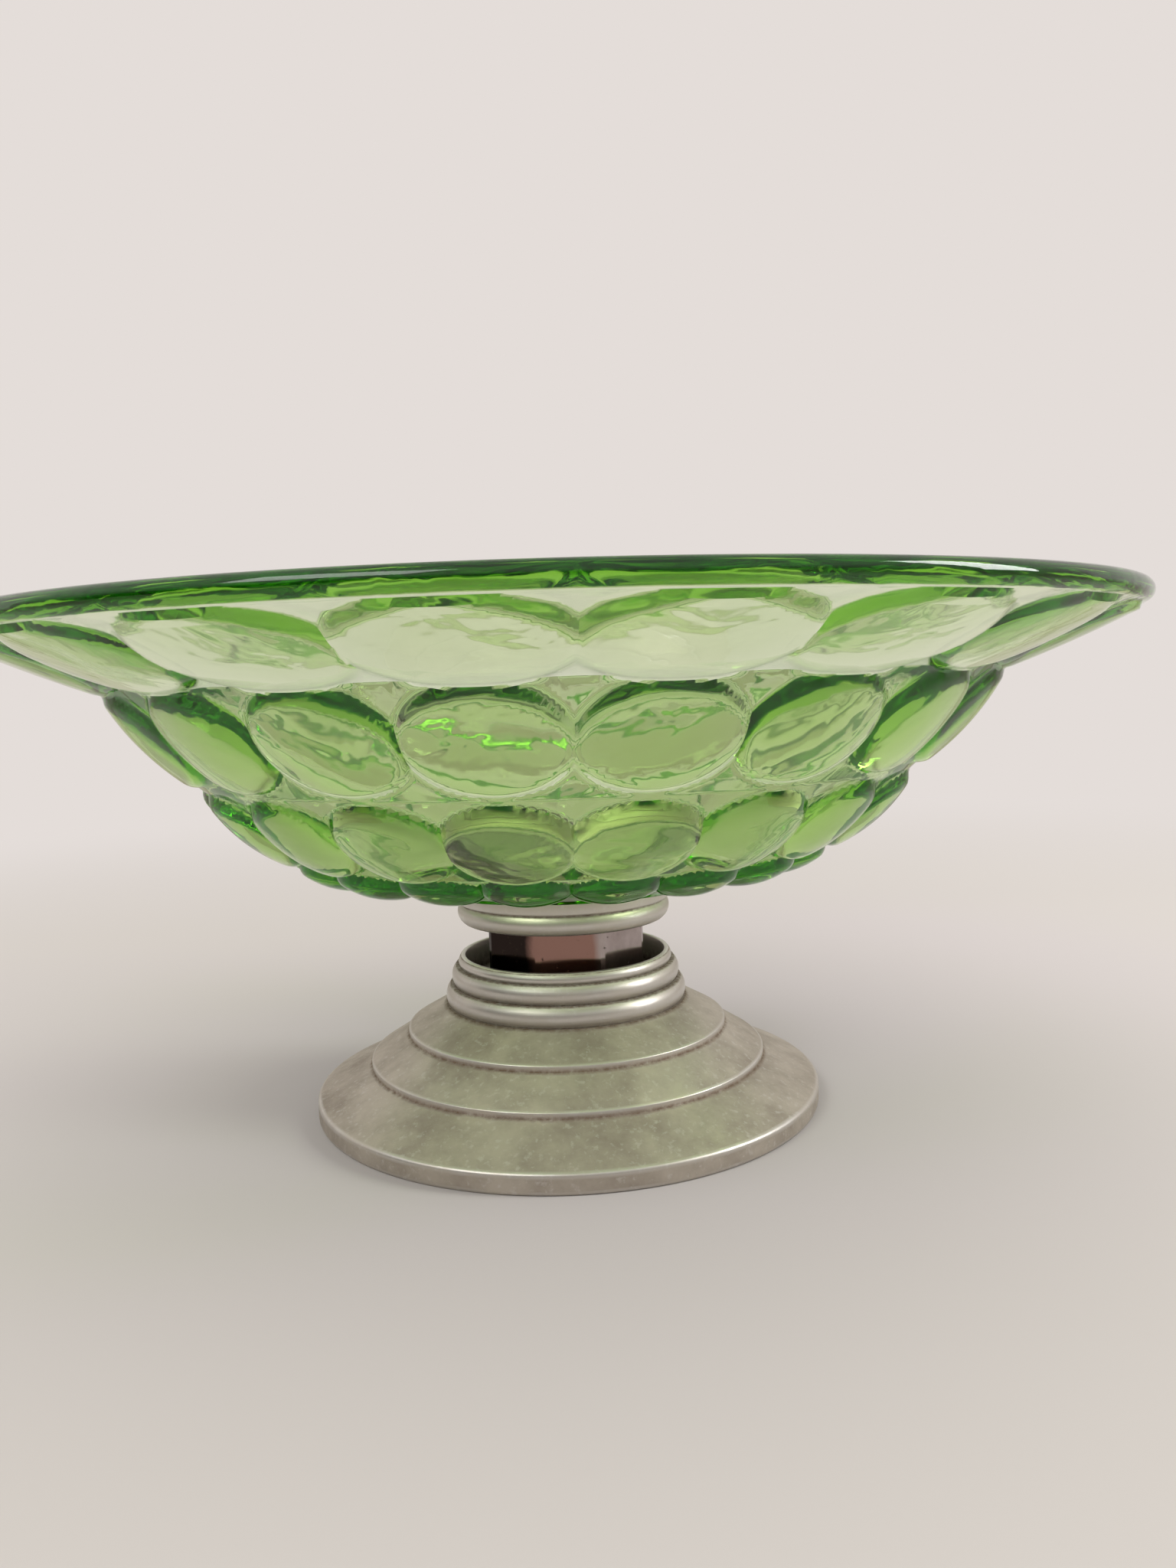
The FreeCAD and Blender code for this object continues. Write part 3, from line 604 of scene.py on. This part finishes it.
def pressed_glass(settings):
    """Soda-lime glass coloured green in the melt, pressed in a mould and fire polished.

    The colour is in its depth: thin walls look pale, and the lip and the bulging lowest lenses,
    where light runs a long way inside the glass, go deep green. Pressing leaves slow waves.
    """
    material, tree = new_material("green_pressed_glass")
    place = add_node(tree, "ShaderNodeTexCoord").outputs["Object"]
    waves = add_node(tree, "ShaderNodeTexNoise", {
        "Vector": place, "Scale": per_mm(14), "Detail": 2.0, "Roughness": 0.45, "Distortion": 0.6})
    bump = add_node(tree, "ShaderNodeBump", {
        "Height": waves.outputs["Fac"], "Strength": 1.0, "Distance": settings.ripple * 4})
    glass = add_node(tree, "ShaderNodeBsdfPrincipled", {
        "Base Color": (1, 1, 1, 1), "Roughness": 0.035, "IOR": 1.52, "Transmission Weight": 1.0,
        "Normal": bump.outputs[0]})
    # Lamps shine straight through to the floor. The depth of glass tints that light more than two
    # thin walls really do, so the surface gives some of the red and blue back.
    clear = add_node(tree, "ShaderNodeBsdfTransparent", {"Color": (1.1, 0.98, 1.36, 1)})
    path = add_node(tree, "ShaderNodeLightPath")
    surface = add_node(tree, "ShaderNodeMixShader", {
        0: path.outputs["Is Shadow Ray"], 1: glass.outputs[0], 2: clear.outputs[0]})
    depth = add_node(tree, "ShaderNodeVolumeAbsorption", {
        "Color": (*settings.deep_colour, 1), "Density": settings.density})
    add_node(tree, "ShaderNodeOutputMaterial", {
        "Surface": surface.outputs[0], "Volume": depth.outputs[0]})
    return material


def turned_aluminium(name, settings, bareness, polish):
    """Aluminium turned on a lathe, gone dull with oxide, bright where hands rub it.

    bareness is the share of bright metal that shows through the oxide and polish the roughness of
    the bright metal.
    """
    material, tree = new_material(name)
    place = add_node(tree, "ShaderNodeTexCoord").outputs["Object"]
    worn = add_node(tree, "ShaderNodeAttribute", attribute_name="wear").outputs["Fac"]
    grimy = add_node(tree, "ShaderNodeAttribute", attribute_name="grime").outputs["Fac"]
    run = add_node(tree, "ShaderNodeAttribute", attribute_name="run").outputs["Fac"]
    cloud = add_node(tree, "ShaderNodeTexNoise", {
        "Vector": place, "Scale": per_mm(16), "Detail": 5.0, "Roughness": 0.62}).outputs["Fac"]
    speck = add_node(tree, "ShaderNodeTexNoise", {
        "Vector": place, "Scale": per_mm(1.6), "Detail": 3.0, "Roughness": 0.6}).outputs["Fac"]
    # Tool marks about 0.5 mm apart, the same all the way round.
    marks = add_node(tree, "ShaderNodeTexNoise", {
        "W": run, "Scale": 2.0, "Detail": 2.0, "Roughness": 0.7},
        noise_dimensions="1D").outputs["Fac"]
    stain = add_node(tree, "ShaderNodeMapRange", {
        "Value": cloud, "From Min": 0.38, "From Max": 0.66, "To Min": 0.0, "To Max": 1.0})
    tone = add_node(tree, "ShaderNodeMix", {
        0: stain.outputs[0], 6: (*settings.oxide, 1), 7: (*settings.oxide_dark, 1)},
        data_type="RGBA").outputs[2]
    fleck = add_node(tree, "ShaderNodeMapRange", {
        "Value": speck, "From Min": 0.56, "From Max": 0.7, "To Min": 0.0, "To Max": 0.45})
    tone = add_node(tree, "ShaderNodeMix", {
        0: fleck.outputs[0], 6: tone, 7: (*settings.bright, 1)}, data_type="RGBA").outputs[2]
    rubbed = add_node(tree, "ShaderNodeMath", {0: worn, 1: cloud}, operation="MULTIPLY")
    bare = add_node(tree, "ShaderNodeMapRange", {
        "Value": rubbed.outputs[0], "From Min": 0.2, "From Max": 0.5, "To Min": bareness,
        "To Max": 1.0}).outputs[0]
    tone = add_node(tree, "ShaderNodeMix", {0: bare, 6: tone, 7: (*settings.bright, 1)},
                    data_type="RGBA").outputs[2]
    caked = add_node(tree, "ShaderNodeMath", {0: grimy, 1: speck}, operation="MULTIPLY")
    dirt = add_node(tree, "ShaderNodeMapRange", {
        "Value": caked.outputs[0], "From Min": 0.2, "From Max": 0.62, "To Min": 0.0,
        "To Max": 0.92}).outputs[0]
    tone = add_node(tree, "ShaderNodeMix", {0: dirt, 6: tone, 7: (*settings.grime, 1)},
                    data_type="RGBA").outputs[2]
    dull = add_node(tree, "ShaderNodeMapRange", {
        "Value": cloud, "From Min": 0.3, "From Max": 0.7, "To Min": 0.42, "To Max": 0.56})
    rough = add_node(tree, "ShaderNodeMix", {0: bare, 2: dull.outputs[0], 3: polish},
                     data_type="FLOAT").outputs[0]
    rough = add_node(tree, "ShaderNodeMix", {0: dirt, 2: rough, 3: 0.85},
                     data_type="FLOAT").outputs[0]
    clean = add_node(tree, "ShaderNodeMath", {0: 1.0, 1: dirt}, operation="SUBTRACT")
    # The oxide skin is chalky, so it is only part mirror.
    skinned = add_node(tree, "ShaderNodeMix", {0: bare, 2: 0.7, 3: 1.0}, data_type="FLOAT")
    metal = add_node(tree, "ShaderNodeMath", {0: skinned.outputs[0], 1: clean.outputs[0]},
                     operation="MULTIPLY")
    relief = add_node(tree, "ShaderNodeMath", {0: marks, 1: 0.6, 2: speck},
                      operation="MULTIPLY_ADD")
    bump = add_node(tree, "ShaderNodeBump", {
        "Height": relief.outputs[0], "Strength": 0.35, "Distance": 0.06 * MM})
    surface = add_node(tree, "ShaderNodeBsdfPrincipled", {
        "Base Color": tone, "Metallic": metal.outputs[0], "Roughness": rough,
        "Normal": bump.outputs[0]})
    add_node(tree, "ShaderNodeOutputMaterial", {"Surface": surface.outputs[0]})
    return material


def plated_steel(name, colour, tarnish, smoothness, spot_size, painted_reflection_tones=None):
    """Steel with a thin bright plating that has gone cloudy and spotted with age.

    The last argument gives two colours of painted reflection: the darkest on the -X side of
    the piece, and a brown one between it and the plainer +X side.
    """
    material, tree = new_material(name)
    place = add_node(tree, "ShaderNodeTexCoord").outputs["Object"]
    cloud = add_node(tree, "ShaderNodeTexNoise", {
        "Vector": place, "Scale": per_mm(9), "Detail": 4.0, "Roughness": 0.6}).outputs["Fac"]
    spots = add_node(tree, "ShaderNodeTexNoise", {
        "Vector": place, "Scale": per_mm(spot_size), "Detail": 2.0,
        "Roughness": 0.5}).outputs["Fac"]
    film = add_node(tree, "ShaderNodeMapRange", {
        "Value": cloud, "From Min": 0.35, "From Max": 0.65, "To Min": 0.0, "To Max": 0.7})
    tone = add_node(tree, "ShaderNodeMix", {
        0: film.outputs[0], 6: colour, 7: tarnish}, data_type="RGBA").outputs[2]
    # Painted reflection: towards -X the plating is painted near black, and brown between that and
    # the +X side.
    if painted_reflection_tones:
        across = add_node(tree, "ShaderNodeSeparateXYZ", {0: place}).outputs["X"]
        waver = add_node(tree, "ShaderNodeMath", {
            0: cloud, 1: 3 * MM, 2: across}, operation="MULTIPLY_ADD").outputs[0]
        for start, end, darker in ((10, 8, painted_reflection_tones[1]), (-7.5, -9.5, painted_reflection_tones[0])):
            share = add_node(tree, "ShaderNodeMapRange", {
                "Value": waver, "From Min": start * MM, "From Max": end * MM})
            tone = add_node(tree, "ShaderNodeMix", {
                0: share.outputs[0], 6: tone, 7: darker}, data_type="RGBA").outputs[2]
    pits = add_node(tree, "ShaderNodeMapRange", {
        "Value": spots, "From Min": 0.68, "From Max": 0.78, "To Min": 0.0,
        "To Max": 0.6}).outputs[0]
    tone = add_node(tree, "ShaderNodeMix", {
        0: pits, 6: tone, 7: srgb("#4B4238")}, data_type="RGBA").outputs[2]
    rough = add_node(tree, "ShaderNodeMapRange", {
        "Value": cloud, "From Min": 0.3, "From Max": 0.7, "To Min": smoothness,
        "To Max": smoothness + 0.12}).outputs[0]
    rough = add_node(tree, "ShaderNodeMix", {0: pits, 2: rough, 3: 0.6},
                     data_type="FLOAT").outputs[0]
    bump = add_node(tree, "ShaderNodeBump", {
        "Height": spots, "Strength": 0.15, "Distance": 0.02 * MM})
    surface = add_node(tree, "ShaderNodeBsdfPrincipled", {
        "Base Color": tone, "Metallic": 1.0, "Roughness": rough, "Normal": bump.outputs[0]})
    add_node(tree, "ShaderNodeOutputMaterial", {"Surface": surface.outputs[0]})
    return material


def seal_rubber():
    """Moulded black rubber with a chalky bloom."""
    material, tree = new_material("seal_rubber")
    place = add_node(tree, "ShaderNodeTexCoord").outputs["Object"]
    grain = add_node(tree, "ShaderNodeTexNoise", {
        "Vector": place, "Scale": per_mm(2), "Detail": 4.0, "Roughness": 0.7}).outputs["Fac"]
    tone = add_node(tree, "ShaderNodeMix", {
        0: grain, 6: srgb("#1B1B1A"), 7: srgb("#45433F")}, data_type="RGBA").outputs[2]
    bump = add_node(tree, "ShaderNodeBump", {
        "Height": grain, "Strength": 0.4, "Distance": 0.05 * MM})
    surface = add_node(tree, "ShaderNodeBsdfPrincipled", {
        "Base Color": tone, "Roughness": 0.75, "Normal": bump.outputs[0]})
    add_node(tree, "ShaderNodeOutputMaterial", {"Surface": surface.outputs[0]})
    return material


def pale_sweep(settings):
    """Matte painted board that fades into the backdrop away from the bowl."""
    material, tree = new_material("pale_floor")
    place = add_node(tree, "ShaderNodeTexCoord").outputs["Object"]
    away = add_node(tree, "ShaderNodeVectorMath", {0: place}, operation="LENGTH").outputs["Value"]
    far = add_node(tree, "ShaderNodeMapRange", {
        "Value": away, "From Min": 0.15, "From Max": 0.8, "To Min": 0.0, "To Max": 1.0},
        interpolation_type="SMOOTHSTEP").outputs[0]
    path = add_node(tree, "ShaderNodeLightPath").outputs
    # Diffuse rays never see the glow, so it adds no light.
    unlit = add_node(tree, "ShaderNodeMath", {0: 1.0, 1: path["Is Diffuse Ray"]},
                     operation="SUBTRACT")
    fade = add_node(tree, "ShaderNodeMath", {0: far, 1: unlit.outputs[0]}, operation="MULTIPLY")
    paint = add_node(tree, "ShaderNodeBsdfPrincipled", {
        "Base Color": (*settings.floor, 1), "Roughness": 0.8, "Specular IOR Level": 0.2})
    tone = add_node(tree, "ShaderNodeMix", {
        0: path["Is Camera Ray"], 6: (*settings.far_floor, 1), 7: (*settings.backdrop, 1)},
        data_type="RGBA")
    sweep = add_node(tree, "ShaderNodeEmission", {"Color": tone.outputs[2], "Strength": 1.0})
    surface = add_node(tree, "ShaderNodeMixShader", {
        0: fade.outputs[0], 1: paint.outputs[0], 2: sweep.outputs[0]})
    add_node(tree, "ShaderNodeOutputMaterial", {"Surface": surface.outputs[0]})
    return material


def stand_in(piece, node):
    """Hands a finished piece over to the frame in place of its CAD node."""
    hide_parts(node)
    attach(piece, "root")


# Operators

class PressGlass(bpy.types.Operator):
    """Make the glass bowl with its four rows of lenses"""

    bl_idname = "footed_bowl.press_glass"
    bl_label = "Press the glass bowl"

    def execute(self, context):
        settings = context.scene.bowl_glass
        wedge = glass_wedge(settings)
        # Half a column of turn puts a seam between two columns on -Y.
        first_turn = math.pi / settings.columns - math.pi / 2
        bowl = repeat_round(
            "pressed_bowl", wedge, settings.columns, first_turn, pressed_glass(settings),
            GLASS_CREASE)
        stand_in(bowl, "glass_bowl")
        return {"FINISHED"}


class TurnMetal(bpy.types.Operator):
    """Make the foot, the beaded ring and the collar"""

    bl_idname = "footed_bowl.turn_metal"
    bl_label = "Turn the aluminium pieces"

    def execute(self, context):
        settings = context.scene.bowl_metal
        dull = turned_aluminium("oxidised_aluminium", settings, 0.06, 0.36)
        bright = turned_aluminium("handled_aluminium", settings, 0.45, 0.34)
        for name, node, slot, outline, material in (
                ("stepped_foot", "foot", "cast_aluminium", turned_outline(FOOT_CORNERS), dull),
                ("beaded_ring", "cup_ring", "turned_aluminium", ring_outline(), bright),
                ("flanged_collar", "collar", "turned_aluminium", collar_outline(), bright)):
            piece = repeat_round(
                name, turned_wedge(outline, settings.segments), settings.segments, 0.0, material,
                METAL_CREASE)
            stand_in(piece, node)
        return {"FINISHED"}


class PlateSteel(bpy.types.Operator):
    """Finish the neck, the bolt, the nut, the washers and the seals of the frame"""

    bl_idname = "footed_bowl.plate_steel"
    bl_label = "Plate the neck and fasteners"

    def execute(self, context):
        settings = context.scene.bowl_metal
        chrome_look = ((*settings.chrome, 1), srgb("#8C7F7C"), 0.08, 1.4)
        chrome = plated_steel("cloudy_chrome", *chrome_look)
        # The neck's chrome carries a painted reflection: near black on its -X side, brown across
        # the middle.
        chrome_with_painted_reflection = plated_steel(
            "chrome_painted_reflection", *chrome_look, (srgb("#2B2320"), srgb("#8F6F66")))
        zinc = plated_steel("dull_zinc", srgb("#A9A9A4"), srgb("#7E7B72"), 0.34, 0.9)
        rubber = seal_rubber()
        finishes = {"chromed_steel": chrome, "plain_steel": zinc, "rubber_seal": rubber}
        for row in frame["record"]["subparts"]:
            if row["material_slot"] in finishes:
                node = frame["nodes"][row["node"]]
                finish = chrome_with_painted_reflection if row["node"] == "neck" else finishes[row["material_slot"]]
                node.data.materials.clear()
                node.data.materials.append(finish)
        return {"FINISHED"}


class SetStage(bpy.types.Operator):
    """Set the floor, the light and the photograph's camera"""

    bl_idname = "footed_bowl.set_stage"
    bl_label = "Set the stage"

    def execute(self, context):
        settings = context.scene.bowl_stage
        scene = context.scene
        scene.view_settings.view_transform = "Standard"
        # Light that is thrown to and fro inside the thick glass takes this many bounces to leave.
        scene.cycles.max_bounces = 40
        scene.cycles.glossy_bounces = 32
        scene.cycles.transmission_bounces = 32
        scene.cycles.caustics_reflective = False
        scene.cycles.caustics_refractive = False
        lay_floor(settings)
        hang_card(settings)
        light_room(scene, settings)
        aim_camera(scene, settings)
        return {"FINISHED"}


def lay_floor(settings):
    """A wide pale disc just under the foot."""
    mesh = bmesh.new()
    bmesh.ops.create_circle(mesh, cap_ends=True, segments=96, radius=4.0)
    data = bpy.data.meshes.new("floor")
    mesh.to_mesh(data)
    mesh.free()
    data.materials.append(pale_sweep(settings))
    floor = bpy.data.objects.new("floor", data)
    bpy.context.scene.collection.objects.link(floor)


def hang_card(settings):
    """Pale card close behind the bowl that only gloss and glass show."""
    material, tree = new_material("pale_card")
    height = add_node(tree, "ShaderNodeSeparateXYZ", {
        0: add_node(tree, "ShaderNodeTexCoord").outputs["Object"]}).outputs["Z"]
    # The card is shaded towards its foot, where the bowl keeps light away.
    shade = add_node(tree, "ShaderNodeMapRange", {
        "Value": height, "From Min": 0.0, "From Max": 0.15}, interpolation_type="SMOOTHSTEP")
    tone = add_node(tree, "ShaderNodeMix", {
        0: shade.outputs[0], 6: (*settings.far_floor, 1), 7: (*settings.backdrop, 1)},
        data_type="RGBA")
    glow = add_node(tree, "ShaderNodeEmission", {"Color": tone.outputs[2], "Strength": 1.0})
    add_node(tree, "ShaderNodeOutputMaterial", {"Surface": glow.outputs[0]})
    mesh = bmesh.new()
    half, low, top = 1.4, 1 * MM, 1.0
    corners = [(-half, low), (half, low), (half, top), (-half, top)]
    mesh.faces.new([mesh.verts.new((x, settings.card_distance, z)) for x, z in corners])
    data = bpy.data.meshes.new("wall_card")
    mesh.to_mesh(data)
    mesh.free()
    data.materials.append(material)
    card = bpy.data.objects.new("wall_card", data)
    card.visible_camera = False
    card.visible_diffuse = False
    card.visible_shadow = False
    bpy.context.scene.collection.objects.link(card)


def light_room(scene, settings):
    """An even room, a large soft lamp at the front left and a window-like one at the right."""
    world = bpy.data.worlds.new("room")
    world.use_nodes = True
    tree = world.node_tree
    tree.nodes.clear()
    path = add_node(tree, "ShaderNodeLightPath").outputs
    bent = add_node(tree, "ShaderNodeMath", {
        0: path["Is Glossy Ray"], 1: path["Is Transmission Ray"]}, operation="MAXIMUM")
    way = add_node(tree, "ShaderNodeSeparateXYZ", {
        0: add_node(tree, "ShaderNodeTexCoord").outputs["Generated"]}).outputs
    higher = add_node(tree, "ShaderNodeMapRange", {
        "Value": way["Z"], "From Min": -0.2, "From Max": 0.9, "To Min": 0.75, "To Max": 1.15})
    lit = add_node(tree, "ShaderNodeMath", {
        0: higher.outputs[0], 1: settings.ambient}, operation="MULTIPLY")
    room = add_node(tree, "ShaderNodeBackground", {
        "Color": srgb("#FFFCF7"), "Strength": lit.outputs[0]})
    # Glass and metal show the wall behind the bowl, the darker room in front and the ceiling.
    side = add_node(tree, "ShaderNodeMapRange", {
        "Value": way["X"], "From Min": -0.8, "From Max": 0.9})
    front = add_node(tree, "ShaderNodeMix", {
        0: side.outputs[0], 6: (*settings.unlit, 1), 7: (*settings.half_lit, 1)}, data_type="RGBA")
    behind = add_node(tree, "ShaderNodeMapRange", {
        "Value": way["Y"], "From Min": -0.15, "From Max": 0.6})
    level = add_node(tree, "ShaderNodeMix", {
        0: behind.outputs[0], 6: front.outputs[2], 7: (*settings.surround, 1)}, data_type="RGBA")
    overhead = add_node(tree, "ShaderNodeMapRange", {
        "Value": way["Z"], "From Min": 0.12, "From Max": 0.6}, interpolation_type="SMOOTHSTEP")
    tone = add_node(tree, "ShaderNodeMix", {
        0: overhead.outputs[0], 6: level.outputs[2], 7: srgb("#FFFCF7")}, data_type="RGBA")
    top = add_node(tree, "ShaderNodeMix", {
        0: path["Is Glossy Ray"], 2: settings.ceiling, 3: settings.dim_ceiling}, data_type="FLOAT")
    strength = add_node(tree, "ShaderNodeMix", {
        0: overhead.outputs[0], 2: 1.0, 3: top.outputs[0]}, data_type="FLOAT")
    bounced = add_node(tree, "ShaderNodeBackground", {
        "Color": tone.outputs[2], "Strength": strength.outputs[0]})
    wall = add_node(tree, "ShaderNodeBackground", {
        "Color": (*settings.backdrop, 1), "Strength": 1.0})
    either = add_node(tree, "ShaderNodeMixShader", {
        0: bent.outputs[0], 1: room.outputs[0], 2: bounced.outputs[0]})
    either = add_node(tree, "ShaderNodeMixShader", {
        0: path["Is Camera Ray"], 1: either.outputs[0], 2: wall.outputs[0]})
    add_node(tree, "ShaderNodeOutputWorld", {"Surface": either.outputs[0]})
    scene.world = world
    for name, power, size, place in (
            ("key_lamp", settings.key, (0.9, 0.7), (-0.9, -0.9, 1.25)),
            ("side_lamp", settings.side, (0.35, 0.9), (1.25, -0.25, 0.75))):
        data = bpy.data.lights.new(name, "AREA")
        data.shape = "RECTANGLE"
        data.size, data.size_y = size
        data.energy = power
        lamp = bpy.data.objects.new(name, data)
        lamp.location = place
        lamp.rotation_euler = (LAMP_TARGET - Vector(place)).to_track_quat("-Z", "Y").to_euler()
        scene.collection.objects.link(lamp)


def aim_camera(scene, settings):
    """The photograph's own viewpoint: close, a little above the foot and slightly rolled."""
    yaw, pitch, roll = settings.yaw, settings.pitch, settings.roll
    forward = Vector((
        math.cos(pitch) * math.sin(yaw), math.cos(pitch) * math.cos(yaw), -math.sin(pitch)))
    level = Vector((math.cos(yaw), -math.sin(yaw), 0))
    upward = level.cross(forward)
    right = math.cos(roll) * level - math.sin(roll) * upward
    top = math.sin(roll) * level + math.cos(roll) * upward
    data = bpy.data.cameras.new("camera")
    data.lens = settings.lens
    data.sensor_width = 36.0
    data.clip_start = 0.01
    camera = bpy.data.objects.new("camera", data)
    turn = Matrix((right, top, -forward)).transposed()
    place = Matrix.Translation((0, -settings.distance, settings.height)) @ turn.to_4x4()
    camera.matrix_world = Matrix.Rotation(-settings.orbit, 4, "Z") @ place
    scene.collection.objects.link(camera)
    scene.camera = camera


OPERATORS = (PressGlass, TurnMetal, PlateSteel, SetStage)


class BowlPanel(bpy.types.Panel):
    """Lists the steps that build the bowl"""

    bl_idname = "VIEW3D_PT_footed_bowl"
    bl_label = "Footed Glass Bowl"
    bl_space_type = "VIEW_3D"
    bl_region_type = "UI"
    bl_category = "Bowl"

    def draw(self, context):
        for operator in OPERATORS:
            self.layout.operator(operator.bl_idname)
        for group in ("bowl_glass", "bowl_metal", "bowl_stage"):
            settings = getattr(context.scene, group)
            box = self.layout.box()
            for name in settings.bl_rna.properties.keys():
                if name not in ("rna_type", "name"):
                    box.prop(settings, name)


CLASSES = (GlassSettings, MetalSettings, StageSettings, *OPERATORS, BowlPanel)


def register():
    for kind in CLASSES:
        bpy.utils.register_class(kind)
    bpy.types.Scene.bowl_glass = bpy.props.PointerProperty(type=GlassSettings)
    bpy.types.Scene.bowl_metal = bpy.props.PointerProperty(type=MetalSettings)
    bpy.types.Scene.bowl_stage = bpy.props.PointerProperty(type=StageSettings)


def unregister():
    for name in ("bowl_glass", "bowl_metal", "bowl_stage"):
        delattr(bpy.types.Scene, name)
    for kind in reversed(CLASSES):
        bpy.utils.unregister_class(kind)


def main():
    register()
    for operator in OPERATORS:
        group, name = operator.bl_idname.split(".")
        getattr(getattr(bpy.ops, group), name)()


if __name__ == "__main__":
    main()
